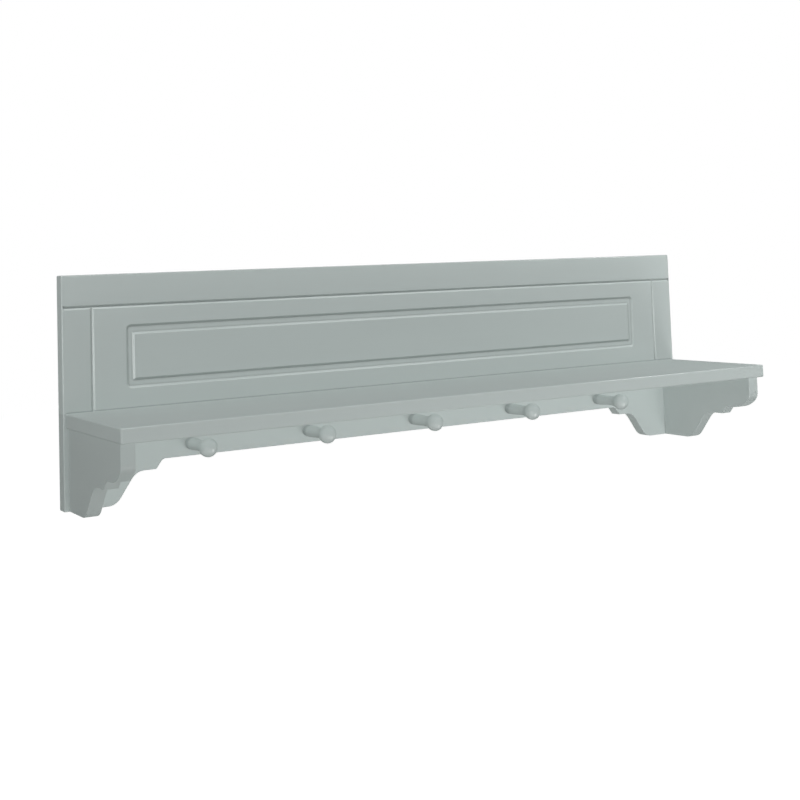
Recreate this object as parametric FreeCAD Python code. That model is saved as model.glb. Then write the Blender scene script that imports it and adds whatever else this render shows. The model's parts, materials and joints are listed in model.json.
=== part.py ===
"""Shaker peg rail with shelf.

Frame: X along the shelf, Y into the wall, Z up. The origin is on the wall face, at the middle of the line
between the two hanger holes. Lengths are in mm. Heights named h_... are measured up from the foot.
"""
import math
import os

import FreeCAD
import Part

os.makedirs("parts", exist_ok=True)

# Back board
width = 1067.0
height = 305.0
stock = 19.0
edge_round = 1.8
arris_round = 0.8
top_rail_height = 43.0
stile_width = 40.5
vee_half_width = 2.8
vee_depth = 1.9

# Channel routed round the field of the panel
channel_outer_side = 86.7
channel_inner_side = 98.8
h_channel_outer_top = 236.8
h_channel_inner_top = 223.2
h_channel_inner_bottom = 165.3
h_channel_outer_bottom = 151.7
channel_depth = 2.0
channel_slope = 3.2
channel_corner = 7.0

# Shelf
shelf_top = 125.4
shelf_inset = 3.8
shelf_projection = 209.6
shelf_edge_round = 2.0
shelf_corner_round = 3.0

# Peg rail scroll, sideways from the end of the rail
rail_edge_height = 54.2
rail_cove_start = 139.5
rail_cove_end = 126.0
rail_cove_radius = 8.0
rail_flat_height = 41.5
rail_slope_top = 98.0
rail_slope_top_round = 21.0
rail_slope_foot = 69.5
rail_slope_foot_round = 21.0

# Brackets, outwards from the front of the back board
bracket_inset = 7.0
bracket_depth = 197.5
ovolo_height = 83.5
ovolo_foot = 160.0
ovolo_foot_height = 57.0
bracket_cove_start = 148.5
bracket_cove_end = 135.5
bracket_cove_radius = 6.0
bracket_flat_height = 45.0
bracket_slope_top = 99.5
bracket_slope_top_round = 28.0
bracket_slope_foot = 62.5
bracket_slope_foot_round = 23.0

# Pegs, outwards from the rail
peg_end_space = 175.1
peg_count = 5
peg_height = 71.1
tenon_radius = 6.35
tenon_length = 13.0
bore_depth = 13.5
shank_base_radius = 7.5
shank_mid_radius = 7.9
shank_mid = 24.0
shank_end_radius = 8.2
shank_end = 47.0
neck_flare_radius = 9.9
neck_flare = 54.0
knob_radius = 12.5
knob_widest = 62.5
knob_length = 73.0
base_round = 0.5
dome_steps = 6

# Loose tongues
tongue_thickness = 6.0
tongue_width = 14.0
tongue_end_clear = 4.0
tongue_gap = 0.2

# Dowels
dowel_radius = 4.0
dowel_length = 30.0
dowel_end_gap = 1.0
dowel_chamfer = 0.8
frame_dowel_inset = 11.0
frame_dowel_spacing = 16.5
bracket_dowel_length = 26.0
bracket_dowel_in_shelf = 11.0
bracket_dowel_near = 55.0
bracket_dowel_far = 150.0

# Wood screws
screw_radius = 2.0
screw_length = 48.0
screw_tip_length = 6.0
screw_tip_radius = 0.4
screw_head_radius = 4.2
screw_head_height = 2.6
screw_head_sink = 0.6
recess_radius = 1.3
recess_depth = 1.4
shelf_screw_height = 114.0
shelf_screw_end_space = 47.5
shelf_screw_count = 5
bracket_screw_low = 24.0
bracket_screw_high = 88.0

# Hanger plates
hanger_drop = 40.0
plate_width = 16.0
plate_height = 54.0
plate_thickness = 1.6
plate_corner = 3.0
plate_hole_radius = 4.5
plate_slot_radius = 2.2
plate_slot_rise = 10.0
plate_above = 26.0
plate_screw_edge = 6.0
plate_screw_radius = 1.4
plate_screw_head_radius = 2.8
plate_screw_head_height = 1.2
plate_screw_length = 13.0
plate_screw_tip = 3.0
pocket_radius = 5.6
pocket_depth = 11.0

# Derived
half_width = width / 2
front = -stock
mid_stock = -stock / 2
h_shelf_under = shelf_top - stock
h_top_joint = height - top_rail_height
hang_height = h_top_joint - hanger_drop
foot = -hang_height
panel_side = half_width - stile_width
overrun = 1.0
shortest_rounded = 2.0
round_middle_share = math.sqrt(0.5)
flat_tolerance = 1e-4

X_AXIS = FreeCAD.Vector(1, 0, 0)
Y_AXIS = FreeCAD.Vector(0, 1, 0)
Z_AXIS = FreeCAD.Vector(0, 0, 1)


def point(x, y, h):
    return FreeCAD.Vector(x, y, foot + h)


def box(x0, x1, y0, y1, h0, h1):
    return Part.makeBox(x1 - x0, y1 - y0, h1 - h0, point(x0, y0, h0))


def arc(start, middle, end):
    return Part.Arc(start, middle, end).toShape()


def line(start, end):
    return Part.makeLine(start, end)


def curve(points, start_tangent=None, end_tangent=None):
    spline = Part.BSplineCurve()
    if start_tangent is None:
        spline.interpolate(points)
    else:
        spline.interpolate(Points=points, InitialTangent=start_tangent, FinalTangent=end_tangent)
    return spline.toShape()


def sweep(edges, direction):
    return Part.Face(Part.Wire(edges)).extrude(direction)


def cove(at, start, h_start, end, h_end, radius):
    """A level edge that bends down through a round and runs straight to a corner."""
    across = start - end
    drop = h_start - h_end
    reach = math.hypot(across, drop - radius)
    turn = math.atan2(drop - radius, across) + math.pi / 2 - math.acos(radius / reach)

    def on_round(angle):
        return at(start - radius * math.sin(angle), h_start - radius * (1 - math.cos(angle)))

    return [arc(on_round(0), on_round(turn / 2), on_round(turn)), line(on_round(turn), at(end, h_end))]


def ogee(at, top, h_top, top_radius, low, h_low, low_radius):
    """A level edge that rounds into a straight slope and out of it into a lower level edge."""
    turn = math.atan2(h_top - h_low, top - low)
    start = top + top_radius * math.tan(turn / 2)
    end = low - low_radius * math.tan(turn / 2)

    def on_top(angle):
        return at(start - top_radius * math.sin(angle), h_top - top_radius * (1 - math.cos(angle)))

    def on_low(angle):
        return at(end + low_radius * math.sin(angle), h_low + low_radius * (1 - math.cos(angle)))

    edges = [
        arc(on_top(0), on_top(turn / 2), on_top(turn)),
        line(on_top(turn), on_low(turn)),
        arc(on_low(turn), on_low(turn / 2), on_low(0)),
    ]
    return start, end, edges


def near(value, target):
    return abs(value - target) < flat_tolerance


def round_edges(shape, radius, wanted):
    edges = [edge for edge in shape.Edges if wanted(edge)]
    return shape.makeFillet(radius, edges)


def on_plane(edge, axis, value):
    box_ = edge.BoundBox
    low, high = {"x": (box_.XMin, box_.XMax), "y": (box_.YMin, box_.YMax), "z": (box_.ZMin, box_.ZMax)}[axis]
    return near(low, value) and near(high, value)


def is_upright(edge):
    box_ = edge.BoundBox
    return near(box_.XLength, 0) and near(box_.YLength, 0)


def runs_inwards(edge):
    box_ = edge.BoundBox
    return near(box_.XLength, 0) and near(box_.ZLength, 0)


def places_along(end_space, count):
    """Evenly spaced places along the width, the outer ones this far in from its ends."""
    first = end_space - half_width
    pitch = -first * 2 / (count - 1)
    return [first + pitch * i for i in range(count)]


def mirrored(shape):
    return shape.mirror(FreeCAD.Vector(0, 0, 0), X_AXIS)


def vee_reach():
    """Half the width of a groove's cutter where it starts, in front of the board."""
    return vee_half_width + vee_half_width * overrun / vee_depth


def vee_along_x(h):
    """Cutter for the groove on a level joint, which stops short of the rounded ends."""
    end = half_width - edge_round
    corners = [
        point(-end, front - overrun, h - vee_reach()),
        point(-end, front + vee_depth, h),
        point(-end, front - overrun, h + vee_reach()),
    ]
    edges = [line(corners[i], corners[(i + 1) % len(corners)]) for i in range(len(corners))]
    return sweep(edges, X_AXIS * (end * 2))


def vee_along_z(x):
    """Cutter for the groove on an upright joint, from the shelf to the top rail."""
    corners = [
        point(x - vee_reach(), front - overrun, shelf_top),
        point(x, front + vee_depth, shelf_top),
        point(x + vee_reach(), front - overrun, shelf_top),
    ]
    edges = [line(corners[i], corners[(i + 1) % len(corners)]) for i in range(len(corners))]
    return sweep(edges, Z_AXIS * (h_top_joint - shelf_top))


def level_groove(x0, x1, h, reach):
    """Groove for a loose tongue that lies along a level joint."""
    half = tongue_thickness / 2 + tongue_gap / 2
    return box(x0, x1, mid_stock - half, mid_stock + half, h - reach, h + reach)


def upright_groove(x, h0, h1, reach):
    half = tongue_thickness / 2 + tongue_gap / 2
    return box(x - reach, x + reach, mid_stock - half, mid_stock + half, h0, h1)


def tongue_reach():
    return tongue_width / 2 + tongue_gap


def frame_dowel_places():
    outer = half_width - frame_dowel_inset
    inner = outer - frame_dowel_spacing
    return [(side * x, h) for side in (-1, 1) for x in (outer, inner) for h in (shelf_top, h_top_joint)]


def upright_bore(x, y, h_low, h_high):
    return Part.makeCylinder(dowel_radius, h_high - h_low, point(x, y, h_low), Z_AXIS)


def upright_dowel(x, y, h_low, h_high):
    body = Part.makeCylinder(dowel_radius, h_high - h_low, point(x, y, h_low), Z_AXIS)
    rims = [edge for edge in body.Edges if on_plane(edge, "z", foot + h_low) or on_plane(edge, "z", foot + h_high)]
    return body.makeChamfer(dowel_chamfer, rims)


def frame_dowel_bores():
    reach = dowel_length / 2 + dowel_end_gap
    return Part.makeCompound([upright_bore(x, mid_stock, h - reach, h + reach) for x, h in frame_dowel_places()])


def frame_dowels():
    reach = dowel_length / 2
    return Part.makeCompound([upright_dowel(x, mid_stock, h - reach, h + reach) for x, h in frame_dowel_places()])


def screw(x, y_head, h):
    """Countersunk wood screw driven from the wall side towards the front."""
    centre = point(x, y_head, h)
    into = Y_AXIS * -1
    head = Part.makeCone(screw_head_radius, screw_radius, screw_head_height, centre, into)
    shank_length = screw_length - screw_head_height - screw_tip_length
    shank_start = centre + into * screw_head_height
    shank = Part.makeCylinder(screw_radius, shank_length, shank_start, into)
    tip = Part.makeCone(screw_radius, screw_tip_radius, screw_tip_length, shank_start + into * shank_length, into)
    recess = Part.makeCylinder(recess_radius, recess_depth, centre, into)
    return head.fuse(shank).fuse(tip).cut(recess).removeSplitter()


def screw_hole(x, h):
    """Countersunk hole through the back board, wider than nothing but the screw itself."""
    into = Y_AXIS * -1
    mouth = Part.makeCylinder(screw_head_radius, screw_head_sink, point(x, 0, h), into)
    sink = Part.makeCone(screw_head_radius, screw_radius, screw_head_height, point(x, -screw_head_sink, h), into)
    shank = Part.makeCylinder(screw_radius, stock, point(x, 0, h), into)
    return mouth.fuse(sink).fuse(shank)


def screw_pilot(x, h):
    """Pilot hole in the part behind the back board, shaped as the screw."""
    return screw(x, -screw_head_sink, h).fuse(
        Part.makeCylinder(recess_radius, recess_depth, point(x, -screw_head_sink, h), Y_AXIS * -1)
    )


def shelf_screw_places():
    return [(x, shelf_screw_height) for x in places_along(shelf_screw_end_space, shelf_screw_count)]


def bracket_centre(side):
    return side * (half_width - bracket_inset - stock / 2)


def bracket_screw_places(side):
    x = bracket_centre(side)
    return [(x, bracket_screw_low), (x, bracket_screw_high)]


def screws(places):
    return Part.makeCompound([screw(x, -screw_head_sink, h) for x, h in places])


def top_rail():
    body = box(-half_width, half_width, front, 0, h_top_joint, height)
    body = round_edges(
        body,
        edge_round,
        lambda edge: (on_plane(edge, "z", foot + height) and not on_plane(edge, "y", 0))
        or (is_upright(edge) and on_plane(edge, "y", front)),
    )
    body = body.cut(vee_along_x(h_top_joint))
    reach = tongue_reach()
    body = body.cut(level_groove(-panel_side, panel_side, h_top_joint, reach))
    return body.cut(frame_dowel_bores())


def stile():
    body = box(panel_side, half_width, front, 0, shelf_top, h_top_joint)
    body = round_edges(
        body, edge_round, lambda edge: is_upright(edge) and on_plane(edge, "y", front) and on_plane(edge, "x", half_width)
    )
    body = body.cut(vee_along_x(h_top_joint)).cut(vee_along_z(panel_side))
    body = body.cut(upright_groove(panel_side, shelf_top, h_top_joint, tongue_reach()))
    body = body.cut(frame_dowel_bores())
    return body.cut(plate_recess())


def rounded_rectangle(half_x, h_low, h_high, y, corner):
    inner_x = half_x - corner
    low = h_low + corner
    high = h_high - corner
    bulge = corner * round_middle_share
    edges = []
    corners = [(1, 1, inner_x, high), (-1, 1, inner_x, high), (-1, -1, inner_x, low), (1, -1, inner_x, low)]
    ends = []
    for sx, sz, cx, ch in corners:
        side_point = point(sx * (cx + corner), y, ch)
        level_point = point(sx * cx, y, ch + sz * corner)
        middle = point(sx * (cx + bulge), y, ch + sz * bulge)
        first, last = (side_point, level_point) if sx == sz else (level_point, side_point)
        edges.append(arc(first, middle, last))
        ends.append((first, last))
    wires = []
    for i in range(len(edges)):
        wires.append(edges[i])
        wires.append(line(ends[i][1], ends[(i + 1) % len(ends)][0]))
    return Part.Wire(wires)


def rectangle(half_x, h_low, h_high, y):
    corners = [point(half_x, y, h_high), point(-half_x, y, h_high), point(-half_x, y, h_low), point(half_x, y, h_low)]
    return Part.Wire([line(corners[i], corners[(i + 1) % len(corners)]) for i in range(len(corners))])


def channel():
    """The routed channel: sloped walls, round outer corners, sharp inner corners."""
    outer_x = half_width - channel_outer_side
    inner_x = half_width - channel_inner_side
    spread = channel_slope * overrun / channel_depth
    outside = Part.makeLoft(
        [
            rounded_rectangle(
                outer_x + spread, h_channel_outer_bottom - spread, h_channel_outer_top + spread,
                front - overrun, channel_corner + spread,
            ),
            rounded_rectangle(
                outer_x - channel_slope, h_channel_outer_bottom + channel_slope, h_channel_outer_top - channel_slope,
                front + channel_depth, channel_corner - channel_slope,
            ),
        ],
        True,
        True,
    )
    field = Part.makeLoft(
        [
            rectangle(inner_x - spread, h_channel_inner_bottom + spread, h_channel_inner_top - spread, front - overrun),
            rectangle(
                inner_x + channel_slope, h_channel_inner_bottom - channel_slope, h_channel_inner_top + channel_slope,
                front + channel_depth,
            ),
        ],
        True,
        True,
    )
    return outside.cut(field)


def centre_panel():
    body = box(-panel_side, panel_side, front, 0, shelf_top, h_top_joint)
    body = body.cut(vee_along_x(h_top_joint)).cut(vee_along_z(panel_side)).cut(vee_along_z(-panel_side))
    reach = tongue_reach()
    body = body.cut(level_groove(-panel_side, panel_side, h_top_joint, reach))
    body = body.cut(level_groove(-panel_side, panel_side, shelf_top, reach))
    for side in (-1, 1):
        body = body.cut(upright_groove(side * panel_side, shelf_top, h_top_joint, reach))
    return body.cut(channel())


def level_tongue(h):
    half_thick = tongue_thickness / 2
    half_wide = tongue_width / 2
    end = panel_side - tongue_reach() - tongue_end_clear
    return box(-end, end, mid_stock - half_thick, mid_stock + half_thick, h - half_wide, h + half_wide)


def upright_tongue(side):
    half_thick = tongue_thickness / 2
    half_wide = tongue_width / 2
    x = side * panel_side
    low = shelf_top + tongue_end_clear
    high = h_top_joint - tongue_end_clear
    return box(x - half_wide, x + half_wide, mid_stock - half_thick, mid_stock + half_thick, low, high)


def scroll_edges():
    """Lower edge of the rail from its middle to its right-hand foot, as seen from the front."""
    def at(side_distance, h):
        return point(half_width - side_distance, front, h)

    slope_start, slope_end, slope = ogee(
        at, rail_slope_top, rail_flat_height, rail_slope_top_round, rail_slope_foot, 0, rail_slope_foot_round
    )
    step = cove(at, rail_cove_start, rail_edge_height, rail_cove_end, rail_flat_height, rail_cove_radius)
    return [
        line(at(half_width, rail_edge_height), at(rail_cove_start, rail_edge_height)),
        *step,
        line(at(rail_cove_end, rail_flat_height), at(slope_start, rail_flat_height)),
        *slope,
        line(at(slope_end, 0), at(0, 0)),
    ]


def peg_rail():
    half = scroll_edges() + [
        line(point(half_width, front, 0), point(half_width, front, shelf_top)),
        line(point(half_width, front, shelf_top), point(0, front, shelf_top)),
        line(point(0, front, shelf_top), point(0, front, rail_edge_height)),
    ]
    right = sweep(half, Y_AXIS * stock)
    body = right.fuse(mirrored(right)).removeSplitter()
    body = round_edges(
        body,
        edge_round,
        lambda edge: is_upright(edge) and on_plane(edge, "y", front) and near(abs(edge.BoundBox.XMin), half_width),
    )
    body = round_edges(
        body,
        arris_round,
        lambda edge: on_plane(edge, "y", front) and edge.BoundBox.ZMax < foot + rail_edge_height + flat_tolerance
        and edge.Length > shortest_rounded,
    )
    body = body.cut(level_groove(-panel_side, panel_side, shelf_top, tongue_reach()))
    body = body.cut(frame_dowel_bores())
    for x in peg_places():
        body = body.cut(Part.makeCylinder(tenon_radius, bore_depth, point(x, front, peg_height), Y_AXIS))
    for x, h in shelf_screw_places() + bracket_screw_places(-1) + bracket_screw_places(1):
        body = body.cut(screw_hole(x, h))
    return body


def peg_places():
    return places_along(peg_end_space, peg_count)


def peg(x):
    def at(distance, radius):
        return point(x, front - distance, peg_height + radius)

    shank = curve(
        [
            at(base_round, shank_base_radius),
            at(shank_mid, shank_mid_radius),
            at(shank_end, shank_end_radius),
            at(neck_flare, neck_flare_radius),
        ]
    )
    back = curve(
        [at(neck_flare, neck_flare_radius), at(knob_widest, knob_radius)],
        FreeCAD.Vector(0, -1, 1),
        Y_AXIS * -1,
    )
    dome_depth = knob_length - knob_widest
    turns = [math.pi / 2 * i / dome_steps for i in range(dome_steps + 1)]
    nose = curve(
        [at(knob_widest + dome_depth * math.sin(turn), knob_radius * math.cos(turn)) for turn in turns],
        Y_AXIS * -1,
        Z_AXIS * -1,
    )
    edges = [
        line(at(-tenon_length, 0), at(-tenon_length, tenon_radius)),
        line(at(-tenon_length, tenon_radius), at(0, tenon_radius)),
        line(at(0, tenon_radius), at(0, shank_base_radius - base_round)),
        arc(
            at(0, shank_base_radius - base_round),
            at(base_round * (1 - math.sqrt(0.5)), shank_base_radius - base_round * (1 - math.sqrt(0.5))),
            at(base_round, shank_base_radius),
        ),
        shank,
        back,
        nose,
        line(at(knob_length, 0), at(-tenon_length, 0)),
    ]
    edges = Part.__sortEdges__(edges)
    face = Part.Face(Part.Wire(edges))
    return Part.makeSolid(face.revolve(point(x, front, peg_height), Y_AXIS, 360))


def shelf_board():
    half = half_width - shelf_inset
    nose = front - shelf_projection
    body = box(-half, half, nose, front, h_shelf_under, shelf_top)
    body = round_edges(body, shelf_corner_round, lambda edge: is_upright(edge) and on_plane(edge, "y", nose))
    body = round_edges(
        body,
        shelf_edge_round,
        lambda edge: (on_plane(edge, "z", foot + shelf_top) or on_plane(edge, "z", foot + h_shelf_under))
        and not on_plane(edge, "y", front),
    )
    for side in (-1, 1):
        for y in bracket_dowel_rows():
            body = body.cut(upright_bore(bracket_centre(side), y, h_shelf_under, bracket_dowel_top() + dowel_end_gap))
    for x, h in shelf_screw_places():
        body = body.cut(screw_pilot(x, h))
    return body


def bracket_dowel_rows():
    return [front - bracket_dowel_near, front - bracket_dowel_far]


def bracket_dowel_top():
    return h_shelf_under + bracket_dowel_in_shelf


def bracket_dowels(side):
    low = bracket_dowel_top() - bracket_dowel_length
    return Part.makeCompound(
        [upright_dowel(bracket_centre(side), y, low, bracket_dowel_top()) for y in bracket_dowel_rows()]
    )


def bracket_outline(x):
    def at(distance, h):
        return point(x, front - distance, h)

    ovolo = curve(
        [
            at(bracket_depth, ovolo_height),
            at(
                ovolo_foot + (bracket_depth - ovolo_foot) * round_middle_share,
                ovolo_height - (ovolo_height - ovolo_foot_height) * round_middle_share,
            ),
            at(ovolo_foot, ovolo_foot_height),
        ],
        Z_AXIS * -1,
        Y_AXIS,
    )
    step = cove(
        at, bracket_cove_start, ovolo_foot_height, bracket_cove_end, bracket_flat_height, bracket_cove_radius
    )
    slope_start, slope_end, slope = ogee(
        at, bracket_slope_top, bracket_flat_height, bracket_slope_top_round,
        bracket_slope_foot, 0, bracket_slope_foot_round,
    )
    return [
        line(at(0, h_shelf_under), at(bracket_depth, h_shelf_under)),
        line(at(bracket_depth, h_shelf_under), at(bracket_depth, ovolo_height)),
        ovolo,
        line(at(ovolo_foot, ovolo_foot_height), at(bracket_cove_start, ovolo_foot_height)),
        *step,
        line(at(bracket_cove_end, bracket_flat_height), at(slope_start, bracket_flat_height)),
        *slope,
        line(at(slope_end, 0), at(0, 0)),
        line(at(0, 0), at(0, h_shelf_under)),
    ]


def bracket():
    inner = half_width - bracket_inset - stock
    body = sweep(bracket_outline(inner), X_AXIS * stock)
    body = round_edges(
        body,
        arris_round,
        lambda edge: (on_plane(edge, "x", inner) or on_plane(edge, "x", inner + stock))
        and not on_plane(edge, "y", front)
        and not on_plane(edge, "z", foot + h_shelf_under),
    )
    low = bracket_dowel_top() - bracket_dowel_length - dowel_end_gap
    for y in bracket_dowel_rows():
        body = body.cut(upright_bore(bracket_centre(1), y, low, h_shelf_under))
    for x, h in bracket_screw_places(1):
        body = body.cut(screw_pilot(x, h))
    return body


def plate_centre():
    return half_width - stile_width / 2


def plate_recess():
    """Shallow seat for the hanger plate and the pocket that the wall screw's head slides up in."""
    x = plate_centre()
    half = plate_width / 2
    low = hang_height + plate_above - plate_height
    seat = box(x - half, x + half, -plate_thickness, 0, low, low + plate_height)
    corner_edges = [edge for edge in seat.Edges if runs_inwards(edge)]
    seat = seat.makeFillet(plate_corner, corner_edges)
    return seat.fuse(plate_pocket(x)).fuse(plate_screws())


def plate_pocket(x):
    depth = pocket_depth
    into = Y_AXIS * -1
    round_end = Part.makeCylinder(pocket_radius, depth, point(x, 0, hang_height), into)
    top_end = Part.makeCylinder(pocket_radius, depth, point(x, 0, hang_height + plate_slot_rise), into)
    middle = box(x - pocket_radius, x + pocket_radius, -depth, 0, hang_height, hang_height + plate_slot_rise)
    return round_end.fuse(top_end).fuse(middle).removeSplitter()


def plate_screw_places():
    low = hang_height + plate_above - plate_height + plate_screw_edge
    high = low + plate_height - plate_screw_edge - plate_screw_edge
    return [low, high]


def plate_screw(x, h):
    into = Y_AXIS * -1
    start = point(x, 0, h)
    head = Part.makeCone(plate_screw_head_radius, plate_screw_radius, plate_screw_head_height, start, into)
    shank_start = start + into * plate_screw_head_height
    shank_length = plate_screw_length - plate_screw_head_height - plate_screw_tip
    shank = Part.makeCylinder(plate_screw_radius, shank_length, shank_start, into)
    tip = Part.makeCone(plate_screw_radius, screw_tip_radius, plate_screw_tip, shank_start + into * shank_length, into)
    return head.fuse(shank).fuse(tip).removeSplitter()


def plate_screws():
    return Part.makeCompound([plate_screw(plate_centre(), h) for h in plate_screw_places()])


def hanger_plate():
    x = plate_centre()
    half = plate_width / 2
    low = hang_height + plate_above - plate_height
    body = box(x - half, x + half, -plate_thickness, 0, low, low + plate_height)
    body = body.makeFillet(plate_corner, [edge for edge in body.Edges if runs_inwards(edge)])
    into = Y_AXIS * -1
    mouth = point(x, overrun, hang_height)
    through = plate_thickness + overrun + overrun
    body = body.cut(Part.makeCylinder(plate_hole_radius, through, mouth, into))
    body = body.cut(Part.makeCylinder(plate_slot_radius, through, mouth + Z_AXIS * plate_slot_rise, into))
    body = body.cut(
        box(x - plate_slot_radius, x + plate_slot_radius, -plate_thickness - overrun, overrun, hang_height,
            hang_height + plate_slot_rise)
    )
    return body.cut(plate_screws())


def hanger_screws():
    right = [plate_screw(plate_centre(), h) for h in plate_screw_places()]
    return Part.makeCompound(right + [mirrored(one) for one in right])


def export(name, shape):
    shape.exportStep("parts/" + name + ".step")
    print(name, round(shape.Volume), len(shape.Solids), shape.isValid())


def main():
    export("top_rail", top_rail())
    right_stile = stile()
    export("right_stile", right_stile)
    export("left_stile", mirrored(right_stile))
    export("centre_panel", centre_panel())
    export("peg_rail", peg_rail())
    export("shelf_board", shelf_board())
    right_bracket = bracket()
    export("right_bracket", right_bracket)
    export("left_bracket", mirrored(right_bracket))
    for number, x in enumerate(peg_places(), start=1):
        export("peg_" + str(number), peg(x))
    export("frame_dowels", frame_dowels())
    export("panel_tongue_top", level_tongue(h_top_joint))
    export("panel_tongue_bottom", level_tongue(shelf_top))
    export("panel_tongue_left", upright_tongue(-1))
    export("panel_tongue_right", upright_tongue(1))
    export("shelf_screws", screws(shelf_screw_places()))
    export("left_bracket_screws", screws(bracket_screw_places(-1)))
    export("right_bracket_screws", screws(bracket_screw_places(1)))
    export("left_bracket_dowels", bracket_dowels(-1))
    export("right_bracket_dowels", bracket_dowels(1))
    right_plate = hanger_plate()
    export("hanger_plate_right", right_plate)
    export("hanger_plate_left", mirrored(right_plate))
    export("hanger_screws", hanger_screws())


main()
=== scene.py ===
"""Shaker peg rail with shelf: satin paint on boards and turned pegs, with bare joinery and plated fittings."""

import json
import math

import bpy
from bpy.props import FloatProperty, FloatVectorProperty, PointerProperty
from mathutils import Matrix, Vector

bl_info = {
    "name": "Shaker peg rail with shelf",
    "version": (1, 0, 0),
    "blender": (4, 5, 0),
    "location": "3D View > Sidebar > Peg rail",
    "description": "Paints the boards and pegs of a peg rail with shelf, finishes its fittings and lights it",
    "category": "Object",
}

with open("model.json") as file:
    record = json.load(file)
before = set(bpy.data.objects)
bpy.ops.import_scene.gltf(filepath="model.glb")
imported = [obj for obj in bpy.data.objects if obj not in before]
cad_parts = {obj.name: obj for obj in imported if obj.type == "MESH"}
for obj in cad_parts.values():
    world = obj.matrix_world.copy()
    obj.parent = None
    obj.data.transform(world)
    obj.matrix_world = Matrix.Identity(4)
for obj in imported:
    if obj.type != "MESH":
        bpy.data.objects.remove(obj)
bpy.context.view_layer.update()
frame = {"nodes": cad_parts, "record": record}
nodes = frame["nodes"]
SLOTS = {row["slot"]: row["base_color"] for row in frame["record"]["materials"]}

# Which way the timber runs, as the turn that lays its length along X
ALONG_X = (0.0, 0.0, 0.0)
ALONG_Y = (0.0, 0.0, math.radians(-90))
ALONG_Z = (0.0, math.radians(90), 0.0)

# The timber under each board's paint: the way it runs, where in the log it was cut and, in metres, how far from
# the heart
CUTS = {
    "top_rail": (ALONG_X, (0.3, 0.02, 0.1), 0.05),
    "left_stile": (ALONG_Z, (0.0, 0.03, 0.4), 0.04),
    "right_stile": (ALONG_Z, (1.0, 0.01, -0.7), 0.05),
    "centre_panel": (ALONG_X, (-0.4, 0.0, 0.25), 0.09),
    "peg_rail": (ALONG_X, (0.8, 0.05, -0.3), 0.07),
    "shelf_board": (ALONG_X, (0.15, 0.1, 0.6), 0.08),
    "left_bracket": (ALONG_Y, (0.2, 0.55, 0.1), 0.05),
    "right_bracket": (ALONG_Y, (0.9, -0.5, 0.3), 0.05),
}

# Where a board's paint differs from the plain one that satin_paint describes. painted_light_tone makes lighter and
# darker copies of the paint for boards that get more and less light, which is painted light and shade. gather
# scales the painted shade in its corners.
BOARD_LIGHT_AND_SHADE = {
    "centre_panel": {"painted_light_tone": 1.04},
    "peg_rail": {"painted_light_tone": 0.90, "shade_share": 0.22},
    "shelf_board": {"painted_light_tone": 0.93, "shade_share": 0.12},
    "left_bracket": {"painted_light_tone": 0.88, "shade_share": 0.22},
    "right_bracket": {"painted_light_tone": 0.90, "shade_share": 0.22},
}

# Each peg comes from a further place in the log than the one before it. All have the same coat, which is darker
# all over and takes painted shade from further off than a board's, so that the shank between the rail and the knob
# carries painted shade.
PEG_COUNT = 5
PEG_STEP = (0.13, 0.07, 0.05)
PEG_HEART = 0.03
PEG_COAT_AND_SHADE = {
    "strokes": 0.4,
    "painted_light_tone": 0.88,
    "shade_share": 0.6,
    "corner_reach": 0.022,
    "shade_wiped": 0.0,
    "shine": 2.0,
}

# The bare timber's cuts, as in CUTS. Plies lie flat, as rings far from the heart do.
DOWEL_CUT = (ALONG_Z, (0.2, 0.1, 0.3), 0.05)
LEVEL_PLY_CUT = (ALONG_X, (0.1, 0.0, 0.2), 1.5)
UPRIGHT_PLY_CUT = (ALONG_Z, (0.4, 0.2, 0.1), 1.5)

DOWELS = ("frame_dowels", "left_bracket_dowels", "right_bracket_dowels")
LEVEL_TONGUES = ("panel_tongue_top", "panel_tongue_bottom")
UPRIGHT_TONGUES = ("panel_tongue_left", "panel_tongue_right")
PLATED = (
    "hanger_plate_left",
    "hanger_plate_right",
    "hanger_screws",
    "shelf_screws",
    "left_bracket_screws",
    "right_bracket_screws",
)

# Patterns in the finishes: size along the timber and across it in metres, then the noise's detail and roughness
CLOUDS = (0.30, 0.05, 2.0, 0.5)
SWAY = (0.45, 0.09, 2.0, 0.5)
FIBRES = (0.07, 0.0009, 3.0, 0.6)
PORES = (0.012, 0.0006, 1.0, 0.5)
PATCHES = (0.03, 0.008, 3.0, 0.6)
DULLING = (0.010, 0.006, 3.0, 0.6)
DRAWING_LINES = (0.0004, 0.012, 2.0, 0.5)

# Detail and roughness of the two patterns that have their sizes in PaintFinish, and how wavy the strokes are
STROKE_NOISE = (3.0, 0.55)
RIPPLE_NOISE = (1.0, 0.4)
STROKE_WAVE = 0.15

# Levels between which a mask rises from 0 to 1. Where the first is the higher one, the mask falls.
EARLY_WOOD = (0.0, 0.72)
LATE_WOOD = (0.86, 1.0)
OPEN_PORES = (0.60, 0.70)
BENT_EDGE = (0.01, 0.16)
CLEAR_OF_CORNERS = (0.30, 0.05)
HOLLOW = (0.12, 0.26)
BUTT_JOINT = (0.36, 0.44)
CUT_CORNER = (0.02, 0.10)
SKIN_SLANT = (0.55, 0.25)
DULLED = (0.45, 0.75)

# Paint. The reaches are distances from an edge or a corner, and the shades multiply the paint's colour.
ARRIS_REACH = 0.0016
CORNER_REACH = 0.003
OWN_CORNER_REACH = 0.0035
EDGE_SAMPLES = 6
CORNER_SAMPLES = 8
PATCH_LEVELS = (0.4, 1.3)
CLOUD_SHARE = 0.7
STROKE_SHARE = 0.3
RIPPLE_HEIGHT = 1.5
FILM_ROUGHNESS_SPREAD = 0.05
FILM_IOR = 1.5
# Painted shade in corners, grooves and between parts
PAINTED_CORNER_SHADE = 0.45
# Paler edges: part thinner paint over arrises, part painted highlight
THINNED_AND_HIGHLIGHT_SHADE = 1.35

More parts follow.
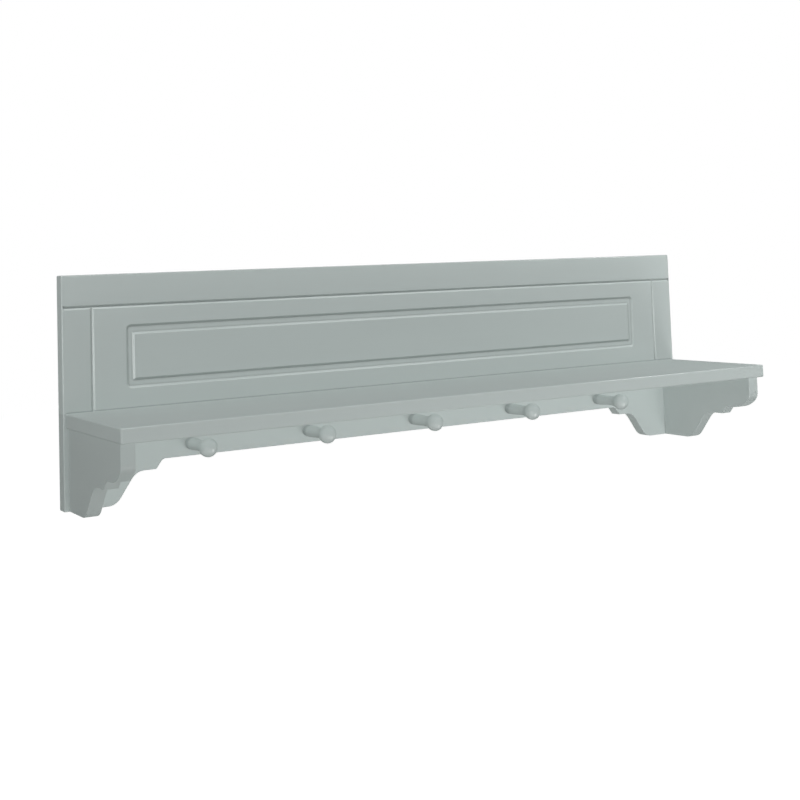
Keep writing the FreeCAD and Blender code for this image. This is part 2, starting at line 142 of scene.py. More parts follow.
# Bare timber. The shades multiply its colour, and the relief is in metres.
RING_WIDTH = 0.004
RING_SWAY = 0.035
EARLY_SHADE, LATE_SHADE = 1.10, 0.84
FIBRE_SHADE, FIBRE_SHARE, FIBRE_RELIEF = 0.72, 0.4, 0.00004
PORE_SHADE, PORE_SHARE, PORE_RELIEF = 0.5, 0.6, 0.00006
TIMBER_ROUGHNESS = (0.55, 0.75)
PLY_THICKNESS = 0.0015

# Zinc plating. The shades multiply its colour, and the relief is in metres.
SPANGLE_CONTRAST = 0.6
BRIGHT_SHADE, GREY_SHADE, DULLED_SHADE = 1.0, 0.74, 0.60
ZINC_ROUGHNESS = (0.26, 0.48)
DRAWN_RELIEF = 0.000012

# Every lamp faces this point. Each has a name, degrees to the right of straight in front, degrees up, distance,
# width and height in metres, and power in watts. It casts shadows or leaves them open, as a broad fill does.
LAMP_AIM = (0.0, -0.1, -0.07)
LAMPS = (
    ("high far left", -66, 42, 3.0, 0.8, 0.8, 43.0, False),
    ("far left", -80, 5, 2.5, 0.6, 0.6, 5.9, False),
    ("high middle", 4, 46, 3.0, 0.8, 0.8, 15.5, False),
    ("near middle", 3, -42, 1.25, 1.2, 0.7, 4.2, False),
    ("near right", 60, 28, 1.3, 0.3, 0.3, 5.9, False),
    ("low right", 40, -35, 1.5, 0.5, 0.5, 4.6, True),
    ("overhead", 0, 60, 2.4, 1.0, 1.0, 8.0, True),
    ("top", -10, 82, 2.4, 1.0, 1.0, 3.0, False),
    ("beside the camera", -38, -3, 4.0, 2.9, 0.3, 26.0, False),
    ("high right", 53, 51, 4.0, 1.1, 1.1, 10.0, False),
    ("behind", 180, 12, 4.0, 1.5, 1.5, 110.0, True),
)
WHITE = (1.0, 1.0, 1.0, 1.0)
SENSOR_WIDTH = 36.0
NEAR_CLIP = 0.05

# Where a Mix node keeps its factor and its two colours among its inputs, and the mixed colour among its outputs
MIX_INPUTS = (0, 6, 7)
MIX_RESULT = 2

# How the nodes are laid out in the editor
NODE_ROWS = 4
NODE_ACROSS = 220
NODE_DOWN = -260


class PaintFinish(bpy.types.PropertyGroup):
    colour: FloatVectorProperty(
        name="Colour",
        description="Colour of the satin paint",
        subtype="COLOR",
        size=3,
        min=0,
        max=1,
        default=SLOTS["paint"],
    )
    film_roughness: FloatProperty(
        name="Roughness",
        description="Roughness of the dry paint film",
        subtype="FACTOR",
        min=0,
        max=1,
        default=0.50,
    )
    sheen: FloatProperty(
        name="Sheen",
        description="Weight of the smoother skin over the film",
        subtype="FACTOR",
        min=0,
        max=1,
        default=0.45,
    )
    sheen_roughness: FloatProperty(
        name="Sheen roughness",
        description="Roughness of that skin",
        subtype="FACTOR",
        min=0,
        max=1,
        default=0.14,
    )
    tone: FloatProperty(
        name="Tone",
        description="How far the paint's colour varies over a board",
        subtype="FACTOR",
        min=0,
        max=1,
        default=0.025,
    )
    stroke_length: FloatProperty(
        name="Stroke length",
        description="Length of a brush stroke",
        unit="LENGTH",
        min=0.005,
        default=0.22,
    )
    stroke_width: FloatProperty(
        name="Stroke width",
        description="Width of the ridges that the bristles leave",
        unit="LENGTH",
        min=0.0002,
        default=0.0022,
    )
    stroke_depth: FloatProperty(
        name="Stroke depth",
        description="Height of those ridges",
        unit="LENGTH",
        min=0,
        precision=6,
        default=0.000008,
    )
    ripple_size: FloatProperty(
        name="Ripple size",
        description="Distance between the soft ripples in the film",
        unit="LENGTH",
        min=0.001,
        default=0.009,
    )
    grain_depth: FloatProperty(
        name="Grain depth",
        description="How far the timber's grain shows through",
        unit="LENGTH",
        min=0,
        precision=6,
        default=0.000005,
    )
    # corner_shade darkens the paint in corners, grooves and between parts: painted shade.
    corner_shade: FloatProperty(
        name="Corner shade",
        description="How much darker the paint is where it gathers in corners",
        subtype="FACTOR",
        min=0,
        max=1,
        default=0.70,
    )
    # edge_paling_and_highlight pales the paint along outer edges: part thinner paint over the arris, part painted
    # highlight.
    edge_paling_and_highlight: FloatProperty(
        name="Arris tone",
        description="How much paler the paint is where it thins over an arris",
        subtype="FACTOR",
        min=0,
        max=1,
        default=0.15,
    )


class BareTimber(bpy.types.PropertyGroup):
    beech: FloatVectorProperty(
        name="Beech",
        description="Colour of the dowels",
        subtype="COLOR",
        size=3,
        min=0,
        max=1,
        default=SLOTS["beech"],
    )
    plywood: FloatVectorProperty(
        name="Plywood",
        description="Colour of the loose tongues",
        subtype="COLOR",
        size=3,
        min=0,
        max=1,
        default=SLOTS["plywood"],
    )
    ring_width: FloatProperty(
        name="Ring width",
        description="Width of a growth ring in the dowels",
        unit="LENGTH",
        min=0.0005,
        default=RING_WIDTH,
    )


class PlatedSteel(bpy.types.PropertyGroup):
    colour: FloatVectorProperty(
        name="Colour",
        description="Colour of the zinc plating",
        subtype="COLOR",
        size=3,
        min=0,
        max=1,
        default=SLOTS["zinc_steel"],
    )
    spangle: FloatProperty(
        name="Spangle",
        description="Size of the crystals in the plating",
        unit="LENGTH",
        min=0.0002,
        default=0.0016,
    )


class StudioStage(bpy.types.PropertyGroup):
    floor_drop: FloatProperty(
        name="Floor drop",
        description="How far the floor lies below the wall fixing",
        unit="LENGTH",
        min=0.3,
        default=1.35,
    )
    floor_size: FloatProperty(
        name="Floor size",
        description="Side of the floor",
        unit="LENGTH",
        min=2,
        default=24.0,
    )
    floor_colour: FloatVectorProperty(
        name="Floor colour",
        description="Colour of the floor",
        subtype="COLOR",
        size=3,
        min=0,
        max=1,
        default=(0.78, 0.78, 0.77),
    )
    floor_glow: FloatProperty(
        name="Floor glow",
        description="What is added to the seen floor under the rail",
        subtype="FACTOR",
        min=0,
        max=1,
        default=0.75,
    )
    glow_reach: FloatProperty(
        name="Glow reach",
        description="Distance at which the seen floor is white",
        unit="LENGTH",
        min=0.5,
        default=1.6,
    )
    world_level: FloatProperty(
        name="World level",
        description="Strength of the even light from all round",
        min=0,
        default=0.0,
    )
    lamp_level: FloatProperty(
        name="Lamp level",
        description="Multiplies the power of every lamp",
        min=0,
        default=1.0,
    )
    camera_place: FloatVectorProperty(
        name="Camera place",
        description="Where the camera stands",
        subtype="XYZ",
        unit="LENGTH",
        size=3,
        default=(-1.04655, -1.70404, 0.0824),
    )
    camera_yaw: FloatProperty(
        name="Camera yaw",
        description="Turn to the right of straight at the wall",
        subtype="ANGLE",
        default=math.radians(31.71),
    )
    camera_pitch: FloatProperty(
        name="Camera pitch",
        description="Tilt upwards",
        subtype="ANGLE",
        default=math.radians(4.188),
    )
    camera_roll: FloatProperty(
        name="Camera roll",
        description="Lean of the frame",
        subtype="ANGLE",
        default=math.radians(-1.984),
    )
    lens: FloatProperty(
        name="Lens",
        description="Focal length on a 36 mm sensor, in mm",
        min=10,
        default=58.455,
    )
    shift_x: FloatProperty(
        name="Shift across",
        description="Sideways shift of the lens, as a share of the frame",
        default=-0.00116,
    )
    shift_y: FloatProperty(
        name="Shift up",
        description="Upward shift of the lens, as a share of the frame",
        default=-0.28858,
    )


class Wiring:
    """Adds nodes to a node tree from left to right and joins them."""

    def __init__(self, tree):
        self.tree = tree
        self.count = 0

    def add(self, kind, label="", inputs=None, **settings):
        """A new node of this kind with its label, its settings and what feeds its inputs."""
        node = self.tree.nodes.new(kind)
        node.label = label
        column, row = divmod(self.count, NODE_ROWS)
        node.location = (NODE_ACROSS * column, NODE_DOWN * row)
        self.count += 1
        for name, value in settings.items():
            setattr(node, name, value)
        for name, value in (inputs or {}).items():
            self.feed(value, node.inputs[name])
        return node

    def feed(self, value, socket):
        """Joins another socket to this one, or sets this one to a plain value."""
        if isinstance(value, bpy.types.NodeSocket):
            self.tree.links.new(value, socket)
        else:
            socket.default_value = value

    def maths(self, operation, first, second=None, label="", clamp=False):
        """What the operation makes of one value or two."""
        node = self.add("ShaderNodeMath", label, operation=operation, use_clamp=clamp)
        self.feed(first, node.inputs[0])
        if second is not None:
            self.feed(second, node.inputs[1])
        return node.outputs[0]

    def between(self, value, low, high, label=""):
        """The value, a share from 0 to 1, laid between two levels."""
        return self.add(
            "ShaderNodeMapRange",
            label,
            {"Value": value, "To Min": low, "To Max": high},
        ).outputs["Result"]

    def step(self, value, levels, label=""):
        """0 up to the first level, 1 from the second on, and smooth in between."""
        low, high = levels
        return self.add(
            "ShaderNodeMapRange",
            label,
            {"Value": value, "From Min": low, "From Max": high},
            interpolation_type="SMOOTHSTEP",
        ).outputs["Result"]

    def colours(self, share, first, second, label=""):
        """The first colour at a share of 0, the second at 1 and a blend in between."""
        node = self.add("ShaderNodeMix", label, data_type="RGBA")
        for value, place in zip((share, first, second), MIX_INPUTS):
            self.feed(value, node.inputs[place])
        return node.outputs[MIX_RESULT]

    def pattern(self, vector, kind, label, wave=0.0):
        """Noise of this kind: its size along the timber and across it, its detail and its roughness."""
        length, width, detail, roughness = kind
        return self.add(
            "ShaderNodeTexNoise",
            label,
            {
                "Vector": self.stretched(vector, length, width, label),
                "Scale": 1.0,
                "Detail": detail,
                "Roughness": roughness,
                "Distortion": wave,
            },
        ).outputs["Fac"]

    def stretched(self, vector, length, width, label=""):
        """The vector counted in cells of this length along the timber and this width across it."""
        parts = self.add("ShaderNodeSeparateXYZ", label, {"Vector": vector}).outputs
        cells = self.add(
            "ShaderNodeCombineXYZ",
            label,
            {
                "X": self.maths("DIVIDE", parts["X"], length),
                "Y": self.maths("DIVIDE", parts["Y"], width),
                "Z": self.maths("DIVIDE", parts["Z"], width),
            },
        )
        return cells.outputs["Vector"]

    def opposite(self, share):
        """What the share leaves of 1."""
        return self.maths("SUBTRACT", 1.0, share, clamp=True)

    def relief(self, height):
        """The normal of a surface raised by this height in metres."""
        return self.add(
            "ShaderNodeBump",
            "",
            {"Height": height, "Distance": 1.0, "Strength": 1.0},
        ).outputs["Normal"]

    def shared(self, name, build, inputs):
        """The outputs of a shader group, which is built when it is first asked for."""
        tree = bpy.data.node_groups.get(name) or build(name)
        return self.add("ShaderNodeGroup", name.lower(), inputs, node_tree=tree).outputs

    def surface(self, name, inputs):
        """Ends a material's tree in a Principled surface with these inputs."""
        made = self.add("ShaderNodeBsdfPrincipled", name, inputs)
        self.add("ShaderNodeOutputMaterial", "", {"Surface": made.outputs["BSDF"]})


def new_group(name, numbers, masks):
    """The wiring and the inputs of a shader group that takes a vector and these numbers and gives these masks."""
    group = bpy.data.node_groups.new(name, "ShaderNodeTree")
    group.interface.new_socket("Vector", in_out="INPUT", socket_type="NodeSocketVector")
    for label in numbers:
        group.interface.new_socket(label, in_out="INPUT", socket_type="NodeSocketFloat")
    for label in masks:
        group.interface.new_socket(label, in_out="OUTPUT", socket_type="NodeSocketFloat")
    wiring = Wiring(group)
    return wiring, wiring.add("NodeGroupInput").outputs


def close_group(wiring, results):
    """The finished group, which gives these results."""
    wiring.add("NodeGroupOutput", "", results)
    return wiring.tree


def paint_film_group(name):
    """Brush strokes, soft ripples and slow clouds of tone in a coat of paint."""
    w, given = new_group(
        name,
        ("Stroke Length", "Stroke Width", "Ripple Size"),
        ("Strokes", "Ripples", "Clouds"),
    )
    vector = given["Vector"]
    strokes = (given["Stroke Length"], given["Stroke Width"], *STROKE_NOISE)
    ripples = (given["Ripple Size"], given["Ripple Size"], *RIPPLE_NOISE)
    return close_group(
        w,
        {
            "Strokes": w.pattern(vector, strokes, "strokes", STROKE_WAVE),
            "Ripples": w.pattern(vector, ripples, "ripples"),
            "Clouds": w.pattern(vector, CLOUDS, "clouds"),
        },
    )


def timber_figure_group(name):
    """Growth rings round a heart at some depth, fine fibres and open pores."""
    w, given = new_group(name, ("Ring Width", "Heart Depth"), ("Rings", "Fibres", "Pores"))
    vector = given["Vector"]
    parts = w.add("ShaderNodeSeparateXYZ", "", {"Vector": vector}).outputs
    sway = w.maths("SUBTRACT", w.pattern(vector, SWAY, "sway"), 0.5)
    shift = w.maths("MULTIPLY", sway, RING_SWAY, "sway")
    across = w.maths("ADD", parts["Y"], given["Heart Depth"])
    upward = w.maths("ADD", parts["Z"], shift)
    squares = w.maths("ADD", w.maths("MULTIPLY", across, across), w.maths("MULTIPLY", upward, upward))
    reach = w.maths("SQRT", squares, label="distance from the heart")
    ring = w.maths("FRACT", w.maths("DIVIDE", reach, given["Ring Width"]))
    early = w.step(ring, EARLY_WOOD)
    late = w.step(ring, LATE_WOOD)
    return close_group(
        w,
        {
            "Rings": w.maths("SUBTRACT", early, late),
            "Fibres": w.pattern(vector, FIBRES, "fibres"),
            "Pores": w.step(w.pattern(vector, PORES, "pores"), OPEN_PORES),
        },
    )


def arris_group(name):
    """Masks of outer edges in patches, hollows near other faces, tight joints, and corners cut into the piece
    itself. The paint uses them for a paler edge, part thinner paint and part painted highlight, and for painted
    shade in hollows and corners.
    """
    w, given = new_group(
        name,
        ("Corner Reach",),
        ("Arrises", "Hollows", "Butt Joints", "Cut Corners"),
    )
    soft = w.add("ShaderNodeBevel", "", {"Radius": ARRIS_REACH}, samples=EDGE_SAMPLES)
    flat = w.add("ShaderNodeNewGeometry")
    match = w.add("ShaderNodeVectorMath", "", operation="DOT_PRODUCT")
    w.feed(soft.outputs["Normal"], match.inputs[0])
    w.feed(flat.outputs["Normal"], match.inputs[1])
    bend = w.opposite(match.outputs["Value"])
    around = w.add(
        "ShaderNodeAmbientOcclusion",
        "all pieces",
        {"Distance": given["Corner Reach"]},
        samples=CORNER_SAMPLES,
    )
    hollow = w.opposite(around.outputs["AO"])
    own = w.add(
        "ShaderNodeAmbientOcclusion",
        "own piece",
        {"Distance": OWN_CORNER_REACH},
        samples=CORNER_SAMPLES,
        only_local=True,
    )
    cut = w.opposite(own.outputs["AO"])
    patchy = w.between(w.pattern(given["Vector"], PATCHES, "patches"), *PATCH_LEVELS)
    paled_edge = w.maths("MULTIPLY", w.step(bend, BENT_EDGE), patchy)
    return close_group(
        w,
        {
            "Arrises": w.maths("MULTIPLY", paled_edge, w.step(hollow, CLEAR_OF_CORNERS), clamp=True),
            "Hollows": w.step(hollow, HOLLOW),
            "Butt Joints": w.step(hollow, BUTT_JOINT),
            "Cut Corners": w.step(cut, CUT_CORNER),
        },
    )


def shaded(colour, factor):
    """The colour with each part multiplied by the factor, and full alpha."""
    return tuple(min(1.0, part * factor) for part in colour) + (1.0,)


def new_material(name):
    """A material with an empty tree, and the wiring for it."""
    material = bpy.data.materials.new(name)
    material.use_nodes = True
    material.node_tree.nodes.clear()
    return material, Wiring(material.node_tree)


def timber_vector(w, turn, offset):
    """Places in metres, turned so that the timber's length lies along X."""
    place = w.add("ShaderNodeTexCoord", "place in metres")
    return w.add(
        "ShaderNodeMapping",
        "along the timber",
        {"Vector": place.outputs["Object"], "Location": offset, "Rotation": turn},
    ).outputs["Vector"]


def satin_paint(
    name,
    turn,
    offset,
    heart,
    strokes=1.0,
    painted_light_tone=1.0,
    shade_share=1.0,
    corner_reach=CORNER_REACH,
    shade_wiped=1.0,
    shine=1.0,
):
    """Satin paint over timber that lies along X after the turn, cut at this offset and depth from the heart.

    painted_light_tone multiplies the colour: lighter and darker copies of the paint that stand in for more and
    less light, which is painted light and shade. strokes scales the height of the brush strokes, gather the
    painted shade in corners, grooves and between parts, and shine the sheen. corner_reach is how far from a corner
    the painted shade reaches. At wiped 1 the tight joints between pieces are kept free of that painted shade.
    """
    finish = bpy.context.scene.peg_rail_paint
    material, w = new_material(name)
    vector = timber_vector(w, turn, offset)
    film = w.shared(
        "Brushed paint film",
        paint_film_group,
        {
            "Vector": vector,
            "Stroke Length": finish.stroke_length,
            "Stroke Width": finish.stroke_width,
            "Ripple Size": finish.ripple_size,
        },
    )
    figure = w.shared(
        "Timber figure",
        timber_figure_group,
        {"Vector": vector, "Heart Depth": heart, "Ring Width": RING_WIDTH},
    )
    edges = w.shared("Arrises and hollows", arris_group, {"Vector": vector, "Corner Reach": corner_reach})

    # Lighter and darker copies of the paint for boards that get more and less light: painted light and shade
    colour = tuple(part * painted_light_tone for part in finish.colour)
    tone = w.maths(
        "ADD",
        w.maths("MULTIPLY", film["Clouds"], CLOUD_SHARE),
        w.maths("MULTIPLY", film["Strokes"], STROKE_SHARE),
        "tone",
    )
    darker, lighter = shaded(colour, 1 - finish.tone), shaded(colour, 1 + finish.tone)
    body = w.colours(tone, darker, lighter, "body of the paint")
    # Painted shade: the paint darkens in hollows, between parts and in the piece's own grooves, and wiped keeps it
    # off tight joints
    joints = w.maths("MULTIPLY", edges["Butt Joints"], shade_wiped, "joints wiped clean")
    hollows = w.maths("SUBTRACT", edges["Hollows"], joints, clamp=True)
    hollows = w.maths("MAXIMUM", hollows, edges["Cut Corners"])
    painted_shade = w.maths("MULTIPLY", hollows, finish.corner_shade * shade_share)
    body = w.colours(painted_shade, body, shaded(colour, PAINTED_CORNER_SHADE), "gathered in corners")
    # Paler along outer edges: part thinner paint, part painted highlight
    thinned_and_highlit = w.maths("MULTIPLY", edges["Arrises"], finish.edge_paling_and_highlight)
    body = w.colours(thinned_and_highlit, body, shaded(colour, THINNED_AND_HIGHLIGHT_SHADE), "highlit_and_thin over arrises")

    film_height = w.maths(
        "ADD",
        w.maths("MULTIPLY", film["Strokes"], finish.stroke_depth * strokes),
        w.maths("MULTIPLY", film["Ripples"], finish.stroke_depth * RIPPLE_HEIGHT),
    )
    grain_height = w.maths(
        "ADD",
        w.maths("MULTIPLY", figure["Rings"], finish.grain_depth),
        w.maths("MULTIPLY", figure["Fibres"], finish.grain_depth),
    )
    normal = w.relief(w.maths("ADD", film_height, grain_height, "height in metres"))
    smoother = finish.film_roughness - FILM_ROUGHNESS_SPREAD
    rougher = finish.film_roughness + FILM_ROUGHNESS_SPREAD
    slant = w.add("ShaderNodeLayerWeight", "slant of the view", {"Blend": 0.5}).outputs["Facing"]
    facing = w.step(slant, SKIN_SLANT)
    w.surface(
        name,
        {
            "Base Color": body,
            "Roughness": w.between(film["Ripples"], smoother, rougher),
            "IOR": FILM_IOR,
            "Specular IOR Level": 0.0,
            "Coat Weight": w.between(facing, 0.0, finish.sheen * shine, "skin seen at less of a slant"),
            "Coat Roughness": finish.sheen_roughness,
            "Normal": normal,
            "Coat Normal": normal,
        },
    )
    return material


def bare_timber(name, colour, turn, offset, heart, ring_width):
    """Sanded timber with its rings, fibres and pores."""
    material, w = new_material(name)
    figure = w.shared(
        "Timber figure",
        timber_figure_group,
        {"Vector": timber_vector(w, turn, offset), "Heart Depth": heart, "Ring Width": ring_width},
    )
    body = w.colours(figure["Rings"], shaded(colour, EARLY_SHADE), shaded(colour, LATE_SHADE), "rings")
    fibres = w.maths("MULTIPLY", figure["Fibres"], FIBRE_SHARE)
    body = w.colours(fibres, body, shaded(colour, FIBRE_SHADE), "fibres")
    pores = w.maths("MULTIPLY", figure["Pores"], PORE_SHARE)
    body = w.colours(pores, body, shaded(colour, PORE_SHADE), "pores")
    height = w.maths(
        "SUBTRACT",
        w.maths("MULTIPLY", figure["Fibres"], FIBRE_RELIEF),
        w.maths("MULTIPLY", figure["Pores"], PORE_RELIEF),
        "height in metres",
    )
    w.surface(
        name,
        {
            "Base Color": body,
            "Roughness": w.between(figure["Fibres"], *TIMBER_ROUGHNESS),
            "Normal": w.relief(height),
        },
    )
    return material


def zinc_plate(name):
    """Zinc plating with its crystals, dull patches and the drawing lines of the steel."""
    finish = bpy.context.scene.peg_rail_steel
    material, w = new_material(name)
    place = w.add("ShaderNodeTexCoord", "place in metres").outputs["Object"]
    crystals = w.add(
        "ShaderNodeTexVoronoi",
        "spangle",
        {"Vector": w.stretched(place, finish.spangle, finish.spangle), "Scale": 1.0},
    )
    grey = w.add("ShaderNodeSeparateColor", "", {"Color": crystals.outputs["Color"]}).outputs["Red"]
    dull = w.pattern(place, DULLING, "dulling")
    drawn = w.pattern(place, DRAWING_LINES, "drawing lines")
    colour = tuple(finish.colour)
    greyed = w.between(grey, 0.0, SPANGLE_CONTRAST)
    body = w.colours(greyed, shaded(colour, BRIGHT_SHADE), shaded(colour, GREY_SHADE), "plating")
    body = w.colours(w.step(dull, DULLED), body, shaded(colour, DULLED_SHADE), "dulled")
    w.surface(
        name,
        {
            "Base Color": body,
            "Metallic": 1.0,
            "Roughness": w.between(dull, *ZINC_ROUGHNESS),
            "Normal": w.relief(w.maths("MULTIPLY", drawn, DRAWN_RELIEF)),
        },
    )
    return material


def cover(name, material):
    """Gives one CAD piece this material all over."""
    if name not in nodes:
        raise RuntimeError(f"the frame has no piece named {name}")
    mesh = nodes[name].data
    mesh.materials.clear()
    mesh.materials.append(material)
    mesh.polygons.foreach_set("material_index", [0] * len(mesh.polygons))


def paint_board(name):
    """Paints one board over the timber of its own cut."""
    cover(name, satin_paint(f"paint_{name}", *CUTS[name], **BOARD_LIGHT_AND_SHADE.get(name, {})))


class PEGRAIL_OT_top_rail(bpy.types.Operator):
    """Paints the top rail, whose timber runs along it"""

    bl_idname = "pegrail.top_rail"
    bl_label = "Top rail"

    def execute(self, context):
        paint_board("top_rail")
        return {"FINISHED"}


class PEGRAIL_OT_stiles(bpy.types.Operator):
    """Paints the two upright ends of the back board"""

    bl_idname = "pegrail.stiles"
    bl_label = "Stiles"

    def execute(self, context):
        paint_board("left_stile")
        paint_board("right_stile")
        return {"FINISHED"}


class PEGRAIL_OT_centre_panel(bpy.types.Operator):
    """Paints the panel with the channel round its field"""

    bl_idname = "pegrail.centre_panel"
    bl_label = "Centre panel"

    def execute(self, context):
        paint_board("centre_panel")
        return {"FINISHED"}


class PEGRAIL_OT_peg_rail(bpy.types.Operator):
    """Paints the scrolled rail that holds the pegs"""

    bl_idname = "pegrail.peg_rail"
    bl_label = "Peg rail"

    def execute(self, context):
        paint_board("peg_rail")
        return {"FINISHED"}


class PEGRAIL_OT_shelf(bpy.types.Operator):
    """Paints the shelf board"""

    bl_idname = "pegrail.shelf"
    bl_label = "Shelf"

    def execute(self, context):
        paint_board("shelf_board")
        return {"FINISHED"}


class PEGRAIL_OT_brackets(bpy.types.Operator):
    """Paints the two scrolled brackets, whose timber runs outwards"""

    bl_idname = "pegrail.brackets"
    bl_label = "Brackets"

    def execute(self, context):
        paint_board("left_bracket")
        paint_board("right_bracket")
        return {"FINISHED"}


class PEGRAIL_OT_pegs(bpy.types.Operator):
    """Paints the five turned pegs"""

    bl_idname = "pegrail.pegs"
    bl_label = "Pegs"

    def execute(self, context):
        for number in range(1, PEG_COUNT + 1):
            offset = tuple(number * part for part in PEG_STEP)
            paint = satin_paint(f"paint_peg_{number}", ALONG_Y, offset, PEG_HEART, **PEG_COAT_AND_SHADE)
            cover(f"peg_{number}", paint)
        return {"FINISHED"}


class PEGRAIL_OT_joinery(bpy.types.Operator):
    """Gives the dowels bare beech and the loose tongues bare plywood"""

    bl_idname = "pegrail.joinery"
    bl_label = "Dowels and tongues"

    def execute(self, context):
        timber = context.scene.peg_rail_timber
        beech, plywood = tuple(timber.beech), tuple(timber.plywood)
        finishes = (
            (DOWELS, bare_timber("beech_dowels", beech, *DOWEL_CUT, timber.ring_width)),
            (LEVEL_TONGUES, bare_timber("plywood_level", plywood, *LEVEL_PLY_CUT, PLY_THICKNESS)),
            (UPRIGHT_TONGUES, bare_timber("plywood_upright", plywood, *UPRIGHT_PLY_CUT, PLY_THICKNESS)),
        )
        for names, material in finishes:
            for name in names:
                cover(name, material)
        return {"FINISHED"}


class PEGRAIL_OT_fittings(bpy.types.Operator):
    """Gives the hanger plates and every screw their zinc plating"""

    bl_idname = "pegrail.fittings"
    bl_label = "Hanger plates and screws"

    def execute(self, context):
        plating = zinc_plate("zinc_plating")
        for name in PLATED:
            cover(name, plating)
        return {"FINISHED"}


def seen_directly(w):
    """1 for rays from the camera and for mirror and glass rays, 0 for the rest."""
    path = w.add("ShaderNodeLightPath")
    plain = w.maths("MAXIMUM", path.outputs["Is Camera Ray"], path.outputs["Is Glossy Ray"])
    return w.maths("MAXIMUM", plain, path.outputs["Is Transmission Ray"])


def make_floor(stage):
    """A pale floor that looks white away from the rail and keeps the rail's shadow."""
    half = stage.floor_size / 2
    corners = [(-half, -half, 0), (half, -half, 0), (half, half, 0), (-half, half, 0)]
    mesh = bpy.data.meshes.new("studio_floor")
    mesh.from_pydata(corners, [], [(0, 1, 2, 3)])
    floor = bpy.data.objects.new("studio_floor", mesh)
    floor.location = (0, 0, -stage.floor_drop)
    bpy.context.scene.collection.objects.link(floor)
    material, w = new_material("studio_floor_paint")
    matt = w.add("ShaderNodeBsdfDiffuse", "", {"Color": tuple(stage.floor_colour) + (1.0,)})
    place = w.add("ShaderNodeTexCoord").outputs["Object"]
    away = w.add("ShaderNodeVectorMath", "distance from the middle", operation="LENGTH")
    w.feed(place, away.inputs[0])
    level = w.between(w.step(away.outputs["Value"], (0.0, stage.glow_reach)), stage.floor_glow, 1.0)
    glow = w.add("ShaderNodeEmission", "seen floor", {"Strength": w.maths("MULTIPLY", seen_directly(w), level)})
    both = w.add("ShaderNodeAddShader")
    w.feed(matt.outputs["BSDF"], both.inputs[0])
    w.feed(glow.outputs["Emission"], both.inputs[1])
    w.add("ShaderNodeOutputMaterial", "", {"Surface": both.outputs["Shader"]})
    mesh.materials.append(material)


def make_world(stage):
    """A white backdrop for the camera and for reflections, and an even light of its own level for the rest."""
    world = bpy.data.worlds.new("studio_world")
    world.use_nodes = True
    world.node_tree.nodes.clear()
    w = Wiring(world.node_tree)
    around = w.add("ShaderNodeBackground", "light all round", {"Color": WHITE, "Strength": stage.world_level})
    behind = w.add("ShaderNodeBackground", "white backdrop", {"Color": WHITE, "Strength": 1.0})
    pick = w.add("ShaderNodeMixShader", "", {0: seen_directly(w)})
    w.feed(around.outputs["Background"], pick.inputs[1])
    w.feed(behind.outputs["Background"], pick.inputs[2])
    w.add("ShaderNodeOutputWorld", "", {"Surface": pick.outputs["Shader"]})
    bpy.context.scene.world = world


def make_lamp(name, azimuth, rise, distance, width, height, power, shadows):
    """A rectangular lamp on a sphere round LAMP_AIM, which it faces."""
    data = bpy.data.lights.new(name, "AREA")
    data.shape = "RECTANGLE"
    data.size = width
    data.size_y = height
    data.energy = power
    data.use_shadow = shadows
    lamp = bpy.data.objects.new(name, data)
    turn = Matrix.Rotation(math.radians(azimuth), 4, "Z") @ Matrix.Rotation(math.radians(90 - rise), 4, "X")
    lamp.matrix_world = Matrix.Translation(Vector(LAMP_AIM)) @ turn @ Matrix.Translation((0, 0, distance))
    bpy.context.scene.collection.objects.link(lamp)


def make_camera(stage):
    """The camera at the photograph's viewing angle."""
    data = bpy.data.cameras.new("camera")
    data.sensor_width = SENSOR_WIDTH
    data.lens = stage.lens
    data.shift_x = stage.shift_x
    data.shift_y = stage.shift_y
    data.clip_start = NEAR_CLIP
    camera = bpy.data.objects.new("camera", data)
    turn = Matrix.Rotation(-stage.camera_yaw, 4, "Z")
    turn = turn @ Matrix.Rotation(math.pi / 2 + stage.camera_pitch, 4, "X")
    turn = turn @ Matrix.Rotation(stage.camera_roll, 4, "Z")
    camera.matrix_world = Matrix.Translation(Vector(stage.camera_place)) @ turn
    bpy.context.scene.collection.objects.link(camera)
    bpy.context.scene.camera = camera


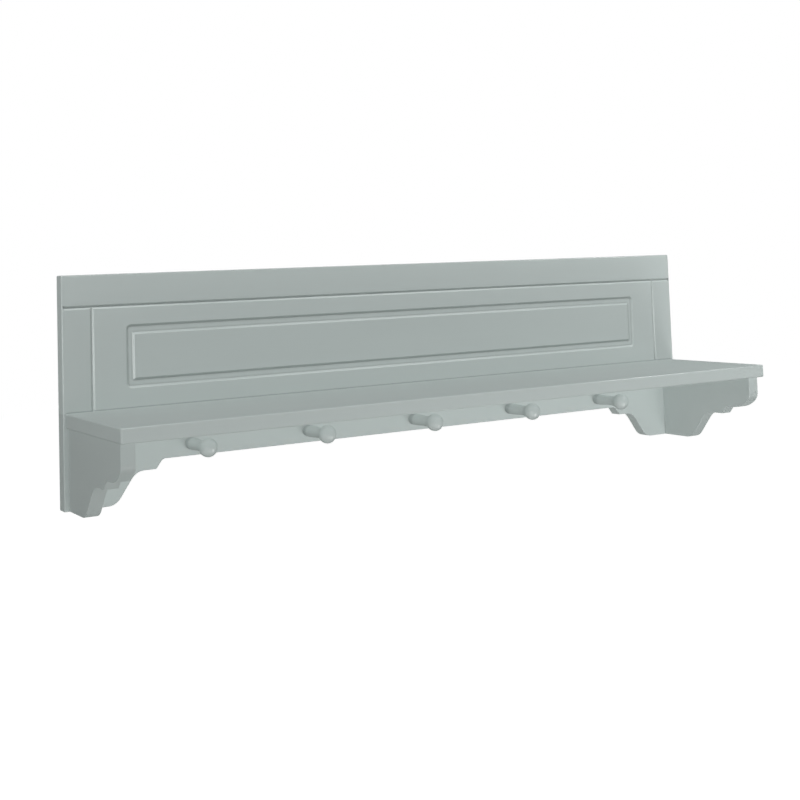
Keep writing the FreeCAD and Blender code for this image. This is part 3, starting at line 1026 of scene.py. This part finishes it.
class PEGRAIL_OT_stage(bpy.types.Operator):
    """Lays the floor, hangs the lamps and sets up the camera"""

    bl_idname = "pegrail.stage"
    bl_label = "Studio"

    def execute(self, context):
        stage = context.scene.peg_rail_stage
        make_floor(stage)
        make_world(stage)
        for name, azimuth, rise, distance, width, height, power, shadows in LAMPS:
            make_lamp(name, azimuth, rise, distance, width, height, power * stage.lamp_level, shadows)
        make_camera(stage)
        context.scene.view_settings.view_transform = "Standard"
        return {"FINISHED"}


class PEGRAIL_PT_panel(bpy.types.Panel):
    """Lists the peg rail's finishes and the operators that apply them"""

    bl_idname = "PEGRAIL_PT_panel"
    bl_label = "Peg rail with shelf"
    bl_space_type = "VIEW_3D"
    bl_region_type = "UI"
    bl_category = "Peg rail"

    def draw(self, context):
        for title, group, _ in GROUPS:
            box = self.layout.box()
            box.label(text=title)
            values = getattr(context.scene, group)
            for name in values.bl_rna.properties.keys():
                if name not in ("rna_type", "name"):
                    box.prop(values, name)
        for operator in OPERATORS:
            self.layout.operator(operator.bl_idname)


GROUPS = (
    ("Paint", "peg_rail_paint", PaintFinish),
    ("Bare timber", "peg_rail_timber", BareTimber),
    ("Plated steel", "peg_rail_steel", PlatedSteel),
    ("Studio", "peg_rail_stage", StudioStage),
)
OPERATORS = (
    PEGRAIL_OT_top_rail,
    PEGRAIL_OT_stiles,
    PEGRAIL_OT_centre_panel,
    PEGRAIL_OT_peg_rail,
    PEGRAIL_OT_shelf,
    PEGRAIL_OT_brackets,
    PEGRAIL_OT_pegs,
    PEGRAIL_OT_joinery,
    PEGRAIL_OT_fittings,
    PEGRAIL_OT_stage,
)
CLASSES = (*(group for _, _, group in GROUPS), *OPERATORS, PEGRAIL_PT_panel)


def register():
    for made in CLASSES:
        bpy.utils.register_class(made)
    for _, name, group in GROUPS:
        setattr(bpy.types.Scene, name, PointerProperty(type=group))


def unregister():
    for _, name, _ in GROUPS:
        delattr(bpy.types.Scene, name)
    for made in reversed(CLASSES):
        bpy.utils.unregister_class(made)


def main():
    register()
    bpy.ops.pegrail.top_rail()
    bpy.ops.pegrail.stiles()
    bpy.ops.pegrail.centre_panel()
    bpy.ops.pegrail.peg_rail()
    bpy.ops.pegrail.shelf()
    bpy.ops.pegrail.brackets()
    bpy.ops.pegrail.pegs()
    bpy.ops.pegrail.joinery()
    bpy.ops.pegrail.fittings()
    bpy.ops.pegrail.stage()


if __name__ == "__main__":
    main()
